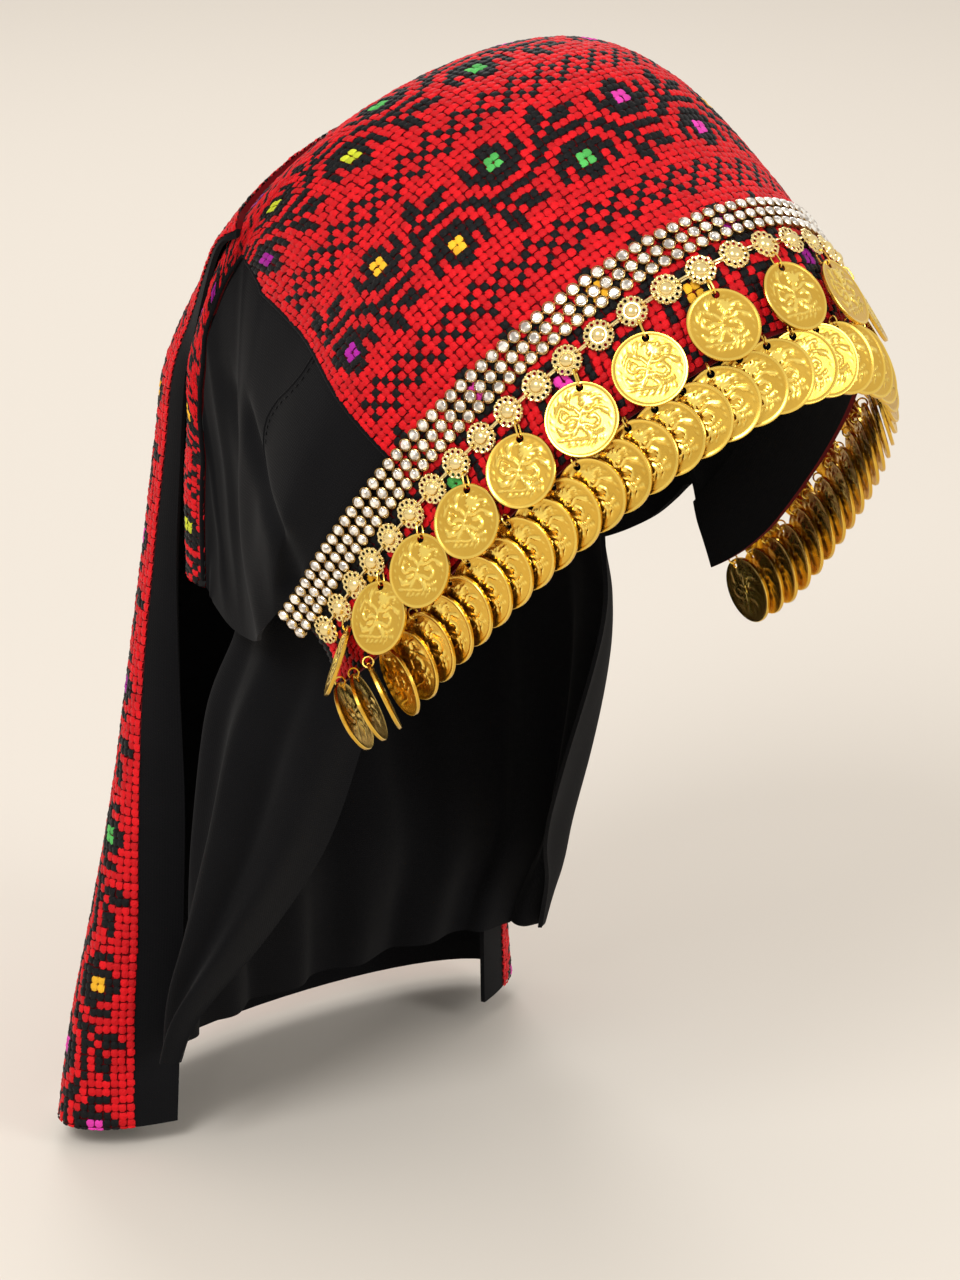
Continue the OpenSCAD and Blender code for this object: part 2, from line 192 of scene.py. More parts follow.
def makePiece(name, s, materials, nodes=(), sharp=None, uv=None, values=None):
    # a piece from a shape in millimetres, its place in its mesh
    mesh = bpy.data.meshes.new(name)
    sizes = np.concatenate([np.full(len(f), f.shape[1]) for f in s["faces"]])
    loops = np.concatenate([f.ravel() for f in s["faces"]]).astype(np.int32)
    mesh.vertices.add(len(s["verts"]))
    mesh.vertices.foreach_set("co", (s["verts"] / 1000).astype(np.float32).ravel())
    mesh.loops.add(len(loops))
    mesh.loops.foreach_set("vertex_index", loops)
    mesh.polygons.add(len(sizes))
    mesh.polygons.foreach_set("loop_start", np.concatenate([[0], np.cumsum(sizes)[:-1]]).astype(np.int32))
    mesh.polygons.foreach_set("material_index", np.concatenate(s["mats"]).astype(np.int32))
    mesh.polygons.foreach_set("use_smooth", np.ones(len(sizes), bool))
    for m in materials:
        mesh.materials.append(m)
    if uv is not None:
        mesh.uv_layers.new(name="cloth").uv.foreach_set("vector", uv[loops].astype(np.float32).ravel())
    for key, value in (values or {}).items():
        mesh.attributes.new(key, "FLOAT", "POINT").data.foreach_set("value", value.astype(np.float32))
    mesh.update(calc_edges=True)
    if sharp:
        mesh.set_sharp_from_angle(angle=np.radians(sharp))
    piece = newObject(name, mesh)
    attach(piece, "root")
    if nodes:
        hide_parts(*nodes)
    print(name, int((sizes - 2).sum()), "triangles")
    return piece


def linear(code):
    # sRGB hex to linear: low values over 12.92, the others on a power curve of 2.4
    c = np.array([int(code[k:k + 2], 16) / 255 for k in (1, 3, 5)])
    c = np.where(c <= 0.04045, c / 12.92, ((c + 0.055) / 1.055) ** 2.4)
    return (*c, 1)


def feed(tree, node, inputs):
    # sets each input to its value, or links it from (node, output)
    for key, value in inputs.items():
        if isinstance(value, tuple) and isinstance(value[0], bpy.types.Node):
            tree.links.new(value[0].outputs[value[1]], node.inputs[key])
        else:
            node.inputs[key].default_value = value


def addNode(tree, kind, inputs=None, **settings):
    # a shader node of the kind named, with its settings and links
    node = tree.nodes.new("ShaderNode" + kind)
    for key, value in settings.items():
        setattr(node, key, value)
    feed(tree, node, inputs or {})
    return node


def newMaterial(name, **values):
    # a material with its constant numbers on the shader's own sockets
    material = bpy.data.materials.new(name)
    material.use_nodes = True
    tree = material.node_tree
    shader = tree.nodes["Principled BSDF"]
    feed(tree, shader, {key.replace("_", " "): value for key, value in values.items()})
    return material, tree, shader


def yarnMaterial(name, code, dark):
    # mercerised cotton yarn, twisted and silky: a soft sheen, fine fibres, and a shadow
    # where the yarn goes down into the cloth
    material, tree, shader = newMaterial(name, Roughness=0.58, Sheen_Weight=0.06, Sheen_Roughness=0.4,
                                         Specular_IOR_Level=0.16)
    place = addNode(tree, "TexCoord")
    depth = addNode(tree, "Attribute", attribute_name="height")
    tone = addNode(tree, "Attribute", attribute_name="tone")
    # a fibre is under 0.3 mm; scale 1500 draws grains of about 0.7 mm, so that they show
    fibre = addNode(tree, "TexNoise", {"Vector": (place, "Object"), "Scale": 1500.0, "Detail": 2.0})
    lift = addNode(tree, "MapRange", {"Value": (depth, "Fac"), "From Min": 0.0, "From Max": 0.66})
    shade = addNode(tree, "Mix", {0: (lift, "Result"), 6: linear(dark), 7: linear(code)}, data_type="RGBA")
    vary = addNode(tree, "HueSaturation", {"Value": (tone, "Fac"), "Color": (shade, 2)})
    bump = addNode(tree, "Bump", {"Height": (fibre, "Fac"), "Strength": 0.6, "Distance": 0.0006})
    feed(tree, shader, {"Base Color": (vary, "Color"), "Normal": (bump, "Normal")})
    return material


def clothMaterial(name, code, thread):
    # plain-woven cotton, matt and a little uneven: its threads are about 0.4 mm, drawn at
    # the wider pitch given, in millimetres, so that they show
    material, tree, shader = newMaterial(name, Roughness=0.95, Sheen_Weight=0.03, Sheen_Roughness=0.5,
                                         Specular_IOR_Level=0.1)
    place = addNode(tree, "TexCoord")
    waves = []
    for axis in ("X", "Y"):
        # a wave texture at scale 1 repeats about every 0.314 of a unit
        wave = {"Vector": (place, "UV"), "Scale": 314.0 / thread, "Distortion": 1.5, "Detail": 1.0}
        waves.append(addNode(tree, "TexWave", wave, wave_type="BANDS", bands_direction=axis))
    weave = addNode(tree, "Math", {0: (waves[0], "Fac"), 1: (waves[1], "Fac")}, operation="MULTIPLY")
    slub = addNode(tree, "TexNoise", {"Vector": (place, "Object"), "Scale": 60.0, "Detail": 6.0})
    tint = addNode(tree, "MapRange", {"Value": (slub, "Fac"), "To Min": 0.75, "To Max": 1.3})
    vary = addNode(tree, "HueSaturation", {"Value": (tint, "Result"), "Color": linear(code)})
    bump = addNode(tree, "Bump", {"Height": (weave, "Value"), "Strength": 0.3, "Distance": 0.0003})
    feed(tree, shader, {"Base Color": (vary, "Color"), "Normal": (bump, "Normal")})
    return material


def metalMaterial(name, code, deep, roughness):
    # gilt brass, struck or cast: bright on the raised parts, browner in the low ones, with
    # worn patches of about 11 mm and a grain of about 1 mm, drawn coarse to show
    material, tree, shader = newMaterial(name, Metallic=1.0, Roughness=roughness)
    place = addNode(tree, "TexCoord")
    depth = addNode(tree, "Attribute", attribute_name="height")
    wear = addNode(tree, "TexNoise", {"Vector": (place, "Object"), "Scale": 90.0, "Detail": 5.0})
    fine = addNode(tree, "TexNoise", {"Vector": (place, "Object"), "Scale": 900.0, "Detail": 3.0})
    mixed = addNode(tree, "Math", {0: (wear, "Fac"), 1: 0.25}, operation="MULTIPLY")
    total = addNode(tree, "Math", {0: (depth, "Fac"), 1: (mixed, "Value")}, operation="ADD")
    shade = addNode(tree, "Mix", {0: (total, "Value"), 6: linear(deep), 7: linear(code)}, data_type="RGBA")
    rough = addNode(tree, "MapRange", {"Value": (wear, "Fac"), "To Min": roughness - 0.06,
                                       "To Max": roughness + 0.1})
    bump = addNode(tree, "Bump", {"Height": (fine, "Fac"), "Strength": 0.12, "Distance": 0.0002})
    feed(tree, shader, {"Base Color": (shade, 2), "Roughness": (rough, "Result"), "Normal": (bump, "Normal")})
    return material


# each yarn's colour on top and in its shadow
yarnColours = {"redYarn": ("#c90814", "#420306"), "blackYarn": ("#070709", "#020203"),
               "goldYarn": ("#eeb226", "#6a3c08"), "greenYarn": ("#4fb054", "#163c1a"),
               "pinkYarn": ("#de3aa8", "#4c0c3a"), "purpleYarn": ("#9c1590", "#30062c"),
               "limeYarn": ("#c2c92c", "#454a0a")}
yarns = [yarnMaterial(name, *codes) for name, codes in yarnColours.items()]
# the ground cloth that shows in the gaps between the stitches: a red of its own, made darker than the yarn as
# painted shade in those gaps
redGround = clothMaterial("redGroundCloth", "#5a060c", 1.2)  # dark red between the stitches
blackCotton = clothMaterial("blackCotton", "#0b0b0d", 0.9)  # matt black, for the lining too
blackVeil = clothMaterial("blackVeilCotton", "#09090b", 0.8)  # a finer weave
blackCord = clothMaterial("blackPipingCord", "#09090b", 0.7)
coinGilt = metalMaterial("struckGiltBrass", "#ffe070", "#d8a83c", 0.23)  # yellow and bright
rosetteGilt = metalMaterial("castGiltBrass", "#fbe6a4", "#c49a48", 0.2)  # paler and glossier
cupGilt = metalMaterial("paleGiltCups", "#f6dca0", "#b08a4c", 0.26)
linkCopper = metalMaterial("copperyLinks", "#d99a5c", "#8a4a20", 0.35)  # gilding worn to copper
# cut glass with foil behind it, with polished facets and painted glints: its colour is
# brighter or duller in patches of about 1.4 mm, under half a stone
stoneGlass, stoneTree, stoneShader = newMaterial(
    "foilBackedCrystal", Metallic=0.85, Roughness=0.05, Coat_Weight=1.0, Coat_Roughness=0.02)
stonePlace = addNode(stoneTree, "TexCoord")
glint = addNode(stoneTree, "TexNoise", {"Vector": (stonePlace, "Object"), "Scale": 700.0, "Detail": 0.0})
glintRange = addNode(stoneTree, "MapRange", {"Value": (glint, "Fac"), "From Min": 0.35, "From Max": 0.62,
                                             "To Min": 0.45, "To Max": 1.15})
glintTint = addNode(stoneTree, "HueSaturation",
                    {"Value": (glintRange, "Result"), "Color": linear("#fff6ea")})
feed(stoneTree, stoneShader, {"Base Color": (glintTint, "Color")})
print("materials made")

# rows of arches: middle point's y and z, tilt, half width, half drop
hood = {
    "rows": np.array([[-114, -21, 41, 82, 138], [-100, 0, 39, 83, 136], [-67, 20, 36, 92, 122],
                      [-36, 42, 35, 77, 103], [0, 45, 38, 68, 70], [34, 26, 27, 68.5, 48.3],
                      [65, 2, 7.8, 68.5, 46.1], [90.5, -39, -21.6, 67.5, 28.6],
                      [104, -85, -71.6, 67, 25.1], [106, -131, -80, 67, 25]], float),
    # row number, and the angle past which the crown's cloth is cut off
    "cut": np.array([[3.6, 95.8], [4, 102], [4.5, 102], [5, 102.5], [5.5, 102], [6, 97.5], [6.5, 100.5],
                     [7, 102.5], [7.6, 97.5], [8.2, 98.5], [9, 97.8]]),
    "seamRow": 1.31, "seamGap": 0.012, "lastRow": 8.9, "panelHalf": 131, "bandHalf": 203,
    # distance to the next row in front of the rosette line and behind it
    "rowFront": 25.0, "rowBehind": 36.0,
    # the hem's distance behind the rosette line, its rise at the ends, and the run of that
    "hem": -25, "hemRise": 9, "hemRun": 40,
}


def archPoint(rows, angle):
    # ellipse arch in a leaning plane, the angle from its top
    a, tilt = np.radians(angle), np.radians(rows[..., 2])
    drop = rows[..., 4] * (1 - np.cos(a))
    return np.stack([rows[..., 3] * np.sin(a), rows[..., 0] + drop * np.sin(tilt),
                     rows[..., 1] - drop * np.cos(tilt)], -1)


def hoodPoint(q, angle):
    # the arch of row q, on a smooth curve through the rows
    q, angle = np.broadcast_arrays(np.asarray(q, float), np.asarray(angle, float))
    return archPoint(curveRow(hood["rows"], q), angle)


def hoodNormal(q, angle):
    # the step along the arch crossed with the step to the next row
    return unit(np.cross(hoodPoint(q, angle + 1) - hoodPoint(q, angle - 1),
                         hoodPoint(q + 0.05, angle) - hoodPoint(q - 0.05, angle)))


def lengthAlong(points, axis=0):
    # running sum of the steps between points, from 0
    steps = np.linalg.norm(np.diff(points, axis=axis), axis=-1)
    return np.insert(np.cumsum(steps, axis), 0, 0, axis)


# angle for a length along the arch, tabled once
tableStep = 0.02
tableQ = np.arange(-0.6, 9.41, tableStep)
tableU = np.arange(0, 236.0)
tableAngles = np.arange(0, 150.1, 0.5)
archLength = lengthAlong(archPoint(curveRow(hood["rows"], tableQ)[:, None], tableAngles[None]), 1)
angleTable = np.stack([np.interp(tableU, line, tableAngles) for line in archLength])


def angleAt(q, u):
    # angle of the point at length u along the arch of row q
    q, u = np.broadcast_arrays(np.asarray(q, float), np.asarray(u, float))
    return np.sign(u) * sampled(angleTable, (q - tableQ[0]) / tableStep, np.abs(u))


def hoodAt(q, u):
    # point at length u along the arch of row q
    return hoodPoint(q, angleAt(q, u))


def bandRow(s):
    # row number at distance s behind the rosette line
    return 1 + s / np.where(s < 0, hood["rowFront"], hood["rowBehind"])


def spot(s, u):
    # frame on the band: point, along it, outward, down it
    q = bandRow(np.asarray(s, float))
    a = angleAt(q, u)
    t = unit(hoodPoint(q, a + 1) - hoodPoint(q, a - 1))
    n = hoodNormal(q, a)
    return hoodPoint(q, a), t, n, np.cross(t, n)


def crownEdge(q):
    # angle of the panel's edge, at its half width or where the nape's edge cuts it
    return np.minimum(angleAt(q, hood["panelHalf"]), np.interp(q, *hood["cut"].T))


def crownNormal(q, angle):
    # the cloth's normal, which at the nape's edge is that of a place further in
    limit = np.where(q > 1.5, crownEdge(q) - 11 * ease((q - 3.2) / 0.6), 180)
    return hoodNormal(q, np.sign(angle) * np.minimum(np.abs(angle), limit))


def hemLine(u):
    # the hem's distance behind the rosette line, rising as a square near its ends
    share = np.maximum(0, (np.abs(u) - hood["bandHalf"] + hood["hemRun"]) / hood["hemRun"])
    return hood["hem"] + hood["hemRise"] * share ** 2


# The vine's repeat, charted: X is black, o a flower, . red. Then an empty row, a
# lattice of five rows, and an empty row.
stitch = {
    "pitch": 2.54, "height": 0.95, "wave": 0.07, "sunk": 0.15,
    "vine": ["........X.........", "XX.....XX.........", "XXX.X..XX.XXX..X.X", "ooX.X..X.XXX...X.X",
             "ooXXX.X.X......XXX", "XXXX..XXXXXXX...XX", "XXX..XX......XX..X", "....XX..XXXX..XX..",
             "XXXX...XXXXXX..XXX", "......XXXooXXX.X.X", "XXX...X.XooX.X..X.", ".XXX..X.XXXX.X..XX",
             ".........XX.....XX", ".................X"],
    "lattice": ["..X.", ".X.X", "X...", ".X.X", "..X."],
    # shift of the chart's columns, and where the hood's middle and the rosette line lie on the cells
    "shift": 5, "middleCol": 51.7, "rosetteRow": 29.63,
    # columns and rows of the crown's cells and of the band's, each without its last number
    "crownCols": (0, 103), "crownRows": (-106, 25), "bandCols": (-28, 132), "bandRows": (25, 40),
    # flower colours by vine: 2 gold, 3 green, 4 pink, 5 purple, 6 lime
    "crownVines": [[5, 2, 3, 4, 2, 3], [3, 4, 2, 5, 3, 2], [6, 5, 3, 2, 4, 5], [5, 6, 3, 4, 2, 3]],
    "tailVines": [[3, 2, 4, 5], [4, 3, 5, 2]],
    # the crown has no stitches under the flap: behind flapFrom and within flapHalf
    "flapFrom": 180, "flapHalf": 62, "splitAt": 90,
    # the band is black along the trim past the crown's panel; least is its shortest stitch
    "blackFrom": 134, "blackAbove": 1.5, "hemGap": 0.4, "endGap": 1.2, "least": 1.0,
}
chartLines = stitch["vine"] + ["...."] + stitch["lattice"] + ["...."]
chart = np.array([[".Xo".index(c) for c in (line * 9)[:36]] for line in chartLines])
pitch = stitch["pitch"]


def yarnOf(col, row, vines):
    # number of the yarn of each stitch; vines gives the flower colours of each vine
    rows, cols = chart.shape
    kind = chart[row % rows, col % cols]
    flowers = np.array(vines)[row // rows % len(vines), col // (cols // 2) % len(vines[0])]
    return np.where(kind == 2, flowers, kind)


def stitchPiece(name, surface, a0, a1, b0, b1, yarn, seed):
    # a small cushion of 3 by 3 quads for each stitch, from a0 to a1 and b0 to b1 on the
    # cloth and higher along its top leg; surface(a, b) gives points and normals
    rng = np.random.default_rng(seed)
    share = np.array([0.0, 0.27, 0.73, 1.0])
    fa, fb = np.meshgrid(share, share, indexing="ij")
    level = np.array([[0.0, 0.66, 0.8, 0.0], [0.66, 1.0, 0.86, 0.8],
                      [0.8, 0.86, 1.0, 0.66], [0.0, 0.8, 0.66, 0.0]])
    # the corners are drawn in, which leaves a small dark gap where four stitches meet
    corner = np.where(level == 0, 0.08, 0.0)
    fa, fb = fa + corner * np.sign(0.5 - fa), fb + corner * np.sign(0.5 - fb)
    n = len(a0)
    wobble = np.where((level > 0.5)[None], 1.0, 0.4)
    places = []
    for first, last, f in ((a0, a1, fa), (b0, b1, fb)):
        span = (last - first)[:, None, None]
        place = first[:, None, None] + span * f
        places.append(place + span * rng.normal(0, stitch["wave"], (n, 1, 1)) * wobble)
    tall = rng.uniform(0.85, 1.15, (n, 1, 1))
    p, normal = surface(*places)
    p = p + normal * (level * tall * stitch["height"] - stitch["sunk"])[..., None]
    faces = (gridFaces(4, 4)[None] + (np.arange(n) * 16)[:, None, None]).reshape(-1, 4)
    # faces turn to the same side as the normal
    q0, q1, q3 = p[:, 0, 0], p[:, 0, 1], p[:, 1, 0]
    if np.einsum("ni,ni->n", np.cross(q1 - q0, q3 - q0), normal[:, 0, 0]).mean() < 0:
        faces = faces[:, ::-1]
    s = shape(p, faces)
    s["mats"] = [np.repeat(yarn, 9)]
    values = {"height": np.broadcast_to(level, (n, 4, 4)).ravel(),
              "tone": np.repeat(rng.uniform(0.78, 1.14, n), 16)}
    return makePiece(name, s, yarns, values=values)


# length along the cloth's middle line behind the rosettes, and the hood's row there
midS = [-25, 0, 18, 77, 133, 191, 240, 290, 337]
midQ = [0, 1, 1.5, 3, 4.5, 6, 7, 8, 8.9]


def hoodCloth(u, s):
    # point and normal at length u across the hood and s back along its middle line
    q = np.interp(s, midS, midQ)
    a = angleAt(q, u)
    return hoodPoint(q, a), crownNormal(q, a)


def hoodCells(cols, rows):
    # column and row of each cell on the chart, its right edge u and its back edge s
    k, r = [x.ravel() for x in np.meshgrid(np.arange(*cols), np.arange(*rows), indexing="ij")]
    return k, r, (k - stitch["middleCol"]) * pitch, (stitch["rosetteRow"] - r) * pitch


k, r, u, s = hoodCells(stitch["crownCols"], stitch["crownRows"])
middleQ = np.interp(s - pitch / 2, midS, midQ)
inPanel = np.abs(angleAt(middleQ, u + pitch / 2)) < crownEdge(middleQ)
keep = inPanel & ((s < stitch["flapFrom"]) | (np.abs(u + pitch / 2) > stitch["flapHalf"]))
k, r, u, s = k[keep], r[keep], u[keep], s[keep]
# two red columns at each edge of the panel
edgeCols = (k < 2) | (k > stitch["crownCols"][1] - 3)
crownYarn = np.where(edgeCols, 0, yarnOf(k + stitch["shift"], r, stitch["crownVines"]))
crownStitches = []
for name, part in (("front", s < stitch["splitAt"]), ("back", s >= stitch["splitAt"])):
    crownStitches.append(stitchPiece("crown_cross_stitch_" + name, hoodCloth, u[part], u[part] + pitch,
                                     s[part] - pitch, s[part], crownYarn[part], seed=3))

k, r, u, s = hoodCells(stitch["bandCols"], stitch["bandRows"])
middle = u + pitch / 2
low = np.maximum(s - pitch, hemLine(middle) + stitch["hemGap"])
keep = (s - low > stitch["least"]) & (np.abs(middle) < hood["bandHalf"] - stitch["endGap"])
k, r, u, s, low, middle = k[keep], r[keep], u[keep], s[keep], low[keep], middle[keep]
black = (np.abs(middle) > stitch["blackFrom"]) & (s > stitch["blackAbove"])
bandYarn = np.where(black, 1, yarnOf(k + stitch["shift"], r, stitch["crownVines"]))
bandStitches = stitchPiece("band_cross_stitch", hoodCloth, u, u + pitch, low, s, bandYarn, seed=4)


def clothUv(grid):
    # lengths along the cloth, in metres, for each point of a grid
    across, down = lengthAlong(grid, 1), lengthAlong(grid, 0)
    return np.stack([across - across.mean(1, keepdims=True), down], -1).reshape(-1, 2) / 1000


# thickness of each cloth, and how far the ground lies under the surface of the stitches
cloth = {"ground": 1.8, "border": 1.6, "black": 1.4, "sunk": 0.1}
lined = [redGround, blackCotton]


def clothPiece(name, outer, n, thickness, mats, slot, node, cut, held, restsOn, **more):
    # a sheet of cloth: its outer grid, and an inner grid a thickness below it along its
    # normals n, in the last of its materials; cut, its flat size in metres, is not used
    uv = clothUv(outer)
    wall = clothWall(outer, outer - thickness * n, (0, len(mats) - 1, 0))
    piece = makePiece(name, wall, mats, [node], sharp=50, uv=np.vstack([uv, uv]))


# crown's ground cloth and lining, from the band's seam to the nape
crownQ = np.linspace(hood["seamRow"] + hood["seamGap"], hood["lastRow"], 91)
crownAngles = crownEdge(crownQ)[:, None] * np.linspace(-1, 1, 81)[None]
crownN = crownNormal(crownQ[:, None] * np.ones(81), crownAngles)
crownGrid = hoodPoint(crownQ[:, None], crownAngles) - cloth["sunk"] * crownN
clothPiece("crown_ground_cloth", crownGrid, crownN, cloth["ground"], lined, "embroidery", "crown",
           (0.262, 0.33), "stretched", [], with_pieces=crownStitches)

bandU = np.linspace(-1, 1, 121)[None] * hood["bandHalf"]
hemQ = bandRow(hemLine(bandU))
bandQ = hemQ + (hood["seamRow"] - hemQ) * np.linspace(0, 1, 13)[:, None]
bandA = angleAt(bandQ, bandU)
bandN = hoodNormal(bandQ, bandA)
bandGrid = hoodPoint(bandQ, bandA) - cloth["sunk"] * bandN
clothPiece("band_ground_cloth", bandGrid, bandN, cloth["ground"], lined, "embroidery", "brow_band",
           (0.406, 0.037), "stretched", ["crown_ground_cloth"], with_pieces=[bandStitches])
print("crown and band made")

tail = {
    # y, z, tilt, half width, half drop, angle of the red edge, angle of the border's edge
    "rows": np.array([[96, -17, -18, 63, 41, 73, 85], [129, -66, -88, 60.5, 36.5, 80, 91],
                      [133, -92, -90, 62, 35.5, 84, 96], [137, -130, -90, 65, 34, 87, 103],
                      [140, -170, -90, 70, 33, 92, 113], [142, -210, -90, 76, 32, 101, 122],
                      [145, -250, -90, 84, 32, 111, 128], [149, -290, -90, 92, 32, 118, 133],
                      [151, -322, -90, 97, 32, 122, 135]], float),
    # the first two rows lie on the crown: rows behind the seam, lift, and the same angles
    "seam": [(0, 2.6, 84, 88), (0.45, 3.8, 79, 84)], "seamRow": 5.4, "forward": 0.6, "gap": 0.05,
    # the grid of the red part, and the length of its stitches down the flap
    "gridRows": 401, "gridCols": 161, "stitchLong": 2.76,
}


def tailGrid(fractions, strip, rows, lift=0.0):
    # curves down the flap through its arches; strip is the embroidery, or the border on
    # one side, and fractions run across it
    keys = []
    for n in range(len(tail["rows"]) + 2):
        row = None if n < 2 else tail["rows"][n - 2]
        redEdge, borderEdge = tail["seam"][n][2:] if n < 2 else row[5:]
        gap = np.degrees(tail["gap"] / (60 if n < 2 else row[4]))
        if strip == "red":
            angle = redEdge * (2 * fractions - 1)
        elif strip == "right":
            angle = -borderEdge + (borderEdge - redEdge - gap) * fractions
        else:
            angle = redEdge + gap + (borderEdge - redEdge - gap) * fractions
        if n < 2:
            q = tail["seamRow"] + tail["seam"][n][0] - tail["forward"] * ease((np.abs(angle) - 60) / 32)
            keys.append(hoodPoint(q, angle) + (tail["seam"][n][1] + lift) * hoodNormal(q, angle))
        else:
            a, t = np.radians(angle), np.radians(row[2])
            w = row[3] * np.cos(a)
            n3 = unit(np.stack([row[4] * np.sin(a), -w * np.sin(t), w * np.cos(t)], -1))
            keys.append(archPoint(row[None], angle) + lift * n3)
    return curveRow(np.array(keys), np.linspace(0, len(keys) - 1, rows))


tailShare = np.linspace(0, 1, tail["gridCols"])
tailRed = tailGrid(tailShare, "red", tail["gridRows"])
tailN = unit(tailRed - tailGrid(tailShare, "red", tail["gridRows"], -1.9))
# rows of stitches, at even lengths along a line near the flap's side
sideLength = lengthAlong(tailRed[:, 12])
lines = np.append(np.arange(0, sideLength[-1], tail["stitchLong"]), sideLength[-1])
lines = np.interp(lines, sideLength, np.arange(tail["gridRows"]))


def tailCloth(i, j):
    # the flap's point and normal at fractional row and column
    return sampled(tailRed, i, j), unit(sampled(tailN, i, j))


cells = []
gridCols = np.arange(float(tail["gridCols"]))
for t, (i0, i1) in enumerate(zip(lines[:-1], lines[1:])):
    length = lengthAlong(sampled(tailRed, np.full(len(gridCols), (i0 + i1) / 2), gridCols))
    count = 2 * int(round(length[-1] / pitch / 2))
    cuts = np.interp(np.linspace(0, length[-1], count + 1), length, gridCols)
    inward = np.minimum(np.arange(count), count - 1 - np.arange(count))
    cells.append(np.stack([np.full(count, i0), np.full(count, i1), cuts[:-1], cuts[1:],
                           inward, np.full(count, t)]))
i0, i1, j0, j1, inward, along = np.concatenate(cells, 1)
# the vine runs down each side, its chart's columns along the flap and its rows inward
tailYarn = yarnOf(along.astype(int) - stitch["shift"], (len(stitch["vine"]) - inward).astype(int),
                  stitch["tailVines"])
# the cells that start at the middle column belong to the left side
flapMiddle = gridCols[-1] / 2 - 0.1
tailStitches = []
for name, side in (("right", j0 < flapMiddle), ("left", j0 >= flapMiddle)):
    tailStitches.append(stitchPiece("tail_cross_stitch_" + name, tailCloth, i0[side], i1[side],
                                    j0[side], j1[side], tailYarn[side], seed=5))

every4 = slice(None, None, 4)
tailGround = (tailRed - cloth["sunk"] * tailN)[every4, every4]
clothPiece("tail_ground_cloth", tailGround, tailN[every4, every4], cloth["ground"], lined, "embroidery",
           "tail", (0.265, 0.38), "hung", ["crown_ground_cloth"], with_pieces=tailStitches)
borderShare = np.linspace(0, 1, 13)
for side in ("right", "left"):
    border = tailGrid(borderShare, side, 161)
    borderN = unit(border - tailGrid(borderShare, side, 161, -cloth["border"]))
    clothPiece("tail_border_cloth_" + side, border, borderN, cloth["border"], [blackCotton], "black_cloth",
               "tail_border_" + side, (0.016, 0.335), "hung", ["tail_ground_cloth"])
print("tail made")

sidePanel = {
    # where the panel's front edge runs along the band, and its rows there
    "frontStart": 131.4, "frontEnd": 202, "frontRow": 1.53, "leadRow": 1.42,
    "sag": 13, "pouch": 7, "hollow": 4, "foldAt": 0.5, "foldRun": 0.3, "foldWidth": 0.12, "foldDepth": 4,
    # lines drawn on the panel: share from front to back, share from top to hem
    "seam": [(0.225, 0.0), (0.235, 0.08), (0.255, 0.15), (0.285, 0.22), (0.303, 0.29), (0.3, 0.35),
             (0.28, 0.42)],
    "seamRadius": 0.4, "stitchBeside": 2, "stitchLift": 0.15, "stitchRadius": 0.22,
    # folds sunk into it: line, depth, width
    "folds": [([(0.4, 0.26), (0.36, 0.37), (0.24, 0.5), (0.13, 0.62), (0.05, 0.86)], 3.4, 4.0),
              ([(0.62, 0.16), (0.56, 0.4), (0.46, 0.64), (0.42, 0.9)], 2.2, 5.0)],
}


def sideGrid(rows, cols):
    # right panel, straight lines from the crown's edge (f runs back) down to the sagging
    # hem (g runs down), bowed to the band in front and bulged by the pouch and the fold
    w = sidePanel
    f = np.linspace(0, 1, rows)[:, None]
    g = np.linspace(0, 1, cols)[None]
    crownRow = np.interp(f[:, 0], [0, 0.45, 1], [w["frontRow"], 4, hood["lastRow"]])
    edge = hoodPoint(crownRow, -crownEdge(crownRow))
    edgeN = crownNormal(crownRow, -crownEdge(crownRow))
    outward = unit(np.cross(edgeN, np.gradient(edge, axis=0)))
    top = edge + (0.5 + 0.9 * ease((crownRow - 4.2) / 0.8))[:, None] * outward

    def front(share, q=w["frontRow"]):
        # the front edge at a share of its length along the band, at row q
        return hoodAt(q, -(w["frontStart"] + (w["frontEnd"] - w["frontStart"]) * share))

    corner, back = front(1.0), top[-1] + [1, -2, -5]
    hem = corner + (back - corner) * f - np.array([0, 0, w["sag"]]) * np.sin(np.pi * f)
    line = top[0] + (corner - top[0]) * g[0][:, None]
    size = np.linalg.norm(hem - top, axis=1) / np.linalg.norm(corner - top[0])
    bow = (front(g[0]) - line)[None] * (size * (1 - 0.8 * ease((f[:, 0] - 0.3) / 0.6)))[:, None, None]
    e = (f - w["foldAt"] + w["foldRun"] * g) / w["foldWidth"]
    out = ease(f / 0.12) * np.sin(np.radians(150 * g)) * (
        w["pouch"] * np.exp(-((f - 0.2) / 0.2) ** 2)
        - w["hollow"] * np.exp(-((f + 0.15 * g - 0.72) / 0.2) ** 2)
        + w["foldDepth"] * e * np.exp(-e ** 2) * np.sin(np.radians(90 * g)))
    p = top[:, None] + (hem - top)[:, None] * g[..., None] + bow
    p[..., 0] -= out
    # two rows in front of those, up to the band's seam
    lead = np.stack([front(g[0], q) for q in (hood["seamRow"] + hood["seamGap"], w["leadRow"])])
    return np.concatenate([lead, p])


def lineOn(grid, path):
    # points along a curve drawn on the panel; path holds shares along f and g
    table = curveRow(np.array(path), np.linspace(0, len(path) - 1, 60))
    return sampled(grid, table[:, 0] * (grid.shape[0] - 1), table[:, 1] * (grid.shape[1] - 1))


def valley(grid, path, depth, width):
    # a fold sunk along the path: a bell curve of the distance to it, fading at the top end
    line = lineOn(grid, path)
    far = np.linalg.norm(grid[:, :, None] - line, axis=3)
    return depth * ease(far.argmin(2) / 14) * np.exp(-(far.min(2) / width) ** 2)


sideOuter = sideGrid(91, 55)
sideN = -gridNormals(sideOuter)
